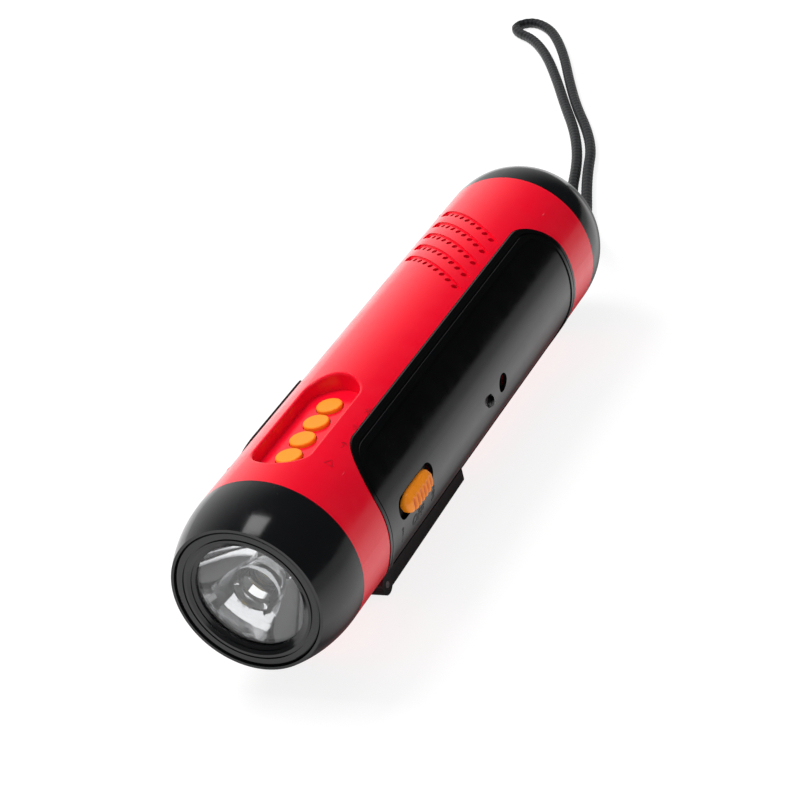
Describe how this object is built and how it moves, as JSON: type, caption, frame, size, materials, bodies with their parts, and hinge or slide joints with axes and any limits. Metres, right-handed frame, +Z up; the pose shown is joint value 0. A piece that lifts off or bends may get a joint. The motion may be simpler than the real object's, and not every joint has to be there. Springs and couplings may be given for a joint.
{
  "type": "hand crank flashlight",
  "caption": "Tubular torch with a folding crank under its belly, a button recess, a speaker grille, a side switch panel, a reflector head and a wrist cord.",
  "frame": {"origin": "on the surface under the middle of the torch's length, on its centre plane; the torch lies on the outer face of its folded crank arm", "axes": "+Z up through the button recess, -Y towards the lens, +Y towards the wrist cord, +X towards the switch panel"},
  "size_m": [0.1311, 0.4387, 0.055],
  "materials": {
    "red_plastic": "gloss moulded",
    "black_plastic": "semi-gloss moulded",
    "orange_plastic": "satin moulded",
    "black_rubber": "matte",
    "clear_lens": "clear polished",
    "chrome": "vacuum metallised",
    "steel": "zinc plated",
    "ferrite": "matte",
    "copper": "enamelled wire",
    "aluminium": "turned",
    "board_green": "solder mask",
    "board_white": "solder mask",
    "gear_nylon": "moulded nylon",
    "paper": "pressed paper",
    "cord": "woven cord"
  },
  "bodies": {
    "torch_body": {"battery_cell_1": "steel", "battery_cell_2": "steel", "battery_cell_3": "steel", "battery_tray": "black_plastic", "board_components": "black_plastic", "button_board": "board_green", "centre_optic": "clear_lens", "charge_lamp": "clear_lens", "cord_anchor": "black_plastic", "dc_jack": "black_plastic", "end_cap": "black_plastic", "front_lens": "clear_lens", "gear_axle_1": "steel", "gear_axle_2": "steel", "gearbox_cover": "black_plastic", "gearbox_frame": "black_plastic", "head_bezel": "black_plastic", "heatsink": "aluminium", "housing_screws": "steel", "led_board": "board_white", "lens_ring": "black_plastic", "lens_seal": "black_rubber", "lower_housing": "red_plastic", "main_board": "board_green", "main_led": "board_white", "output_socket": "steel", "port_board": "board_green", "reflector": "chrome", "rotor_axle": "steel", "side_board": "board_green", "side_panel": "black_plastic", "slide_switch": "black_plastic", "small_screws": "steel", "speaker_cone": "paper", "speaker_frame": "black_plastic", "speaker_magnet": "ferrite", "stator_can": "steel", "stator_coil": "copper", "tact_switches": "black_plastic", "upper_housing": "red_plastic", "wrist_cord": "cord"},
    "crank": {"crank_arm": "black_plastic", "crank_shaft": "steel", "crank_screw": "steel", "drive_gear": "gear_nylon", "knob_pin": "steel"},
    "knob_spindle": {"knob_spindle": "steel"},
    "knob": {"knob": "black_plastic"},
    "compound_gear_1": {"compound_gear_1": "gear_nylon"},
    "compound_gear_2": {"compound_gear_2": "gear_nylon"},
    "rotor": {"rotor_pinion": "gear_nylon", "rotor_magnet": "ferrite"},
    "button_1": {"button_1": "orange_plastic"},
    "button_2": {"button_2": "orange_plastic"},
    "button_3": {"button_3": "orange_plastic"},
    "button_4": {"button_4": "orange_plastic"},
    "switch_slider": {"switch_slider": "orange_plastic", "switch_stem": "gear_nylon"},
    "port_cover": {"port_cover": "black_rubber"}
  },
  "joints": [
    {"name": "crank_turn", "type": "hinge", "parent": "torch_body", "child": "crank", "pos_m": [0, -0.01087, 0], "axis": [0, 0, 1], "continuous": true},
    {"name": "knob_fold", "type": "hinge", "parent": "crank", "child": "knob_spindle", "pos_m": [0, -0.05937, 0.003], "axis": [-1, 0, 0], "range_deg": [0, 90]},
    {"name": "knob_spin", "type": "hinge", "parent": "knob_spindle", "child": "knob", "pos_m": [0, -0.05937, 0.0034], "axis": [0, 1, 0], "continuous": true},
    {"name": "gear_1_turn", "type": "hinge", "parent": "torch_body", "child": "compound_gear_1", "pos_m": [0, -0.02908, 0], "axis": [0, 0, 1], "continuous": true},
    {"name": "gear_2_turn", "type": "hinge", "parent": "torch_body", "child": "compound_gear_2", "pos_m": [0, -0.04587, 0], "axis": [0, 0, 1], "continuous": true},
    {"name": "rotor_turn", "type": "hinge", "parent": "torch_body", "child": "rotor", "pos_m": [0, -0.06057, 0], "axis": [0, 0, 1], "continuous": true},
    {"name": "switch_slide", "type": "slide", "parent": "torch_body", "child": "switch_slider", "axis": [0, 1, 0], "range_m": [-0.003, 0.003]},
    {"name": "port_cover_hinge", "type": "hinge", "parent": "torch_body", "child": "port_cover", "pos_m": [-0.02041, -0.04387, 0.01405], "axis": [0, -1, 0], "range_deg": [0, 100]},
    {"name": "button_1_press", "type": "slide", "parent": "torch_body", "child": "button_1", "axis": [0, 0, -1], "range_m": [0, 0.0005], "stiffness_N_per_m": 600, "springref_m": -0.0003},
    {"name": "button_2_press", "type": "slide", "parent": "torch_body", "child": "button_2", "axis": [0, 0, -1], "range_m": [0, 0.0005], "stiffness_N_per_m": 600, "springref_m": -0.0003},
    {"name": "button_3_press", "type": "slide", "parent": "torch_body", "child": "button_3", "axis": [0, 0, -1], "range_m": [0, 0.0005], "stiffness_N_per_m": 600, "springref_m": -0.0003},
    {"name": "button_4_press", "type": "slide", "parent": "torch_body", "child": "button_4", "axis": [0, 0, -1], "range_m": [0, 0.0005], "stiffness_N_per_m": 600, "springref_m": -0.0003}
  ],
  "couplings": [
    {"joint": "gear_1_turn", "follows": "crank_turn", "ratio": -3.3333},
    {"joint": "gear_2_turn", "follows": "crank_turn", "ratio": 10},
    {"joint": "rotor_turn", "follows": "crank_turn", "ratio": -25}
  ]
}
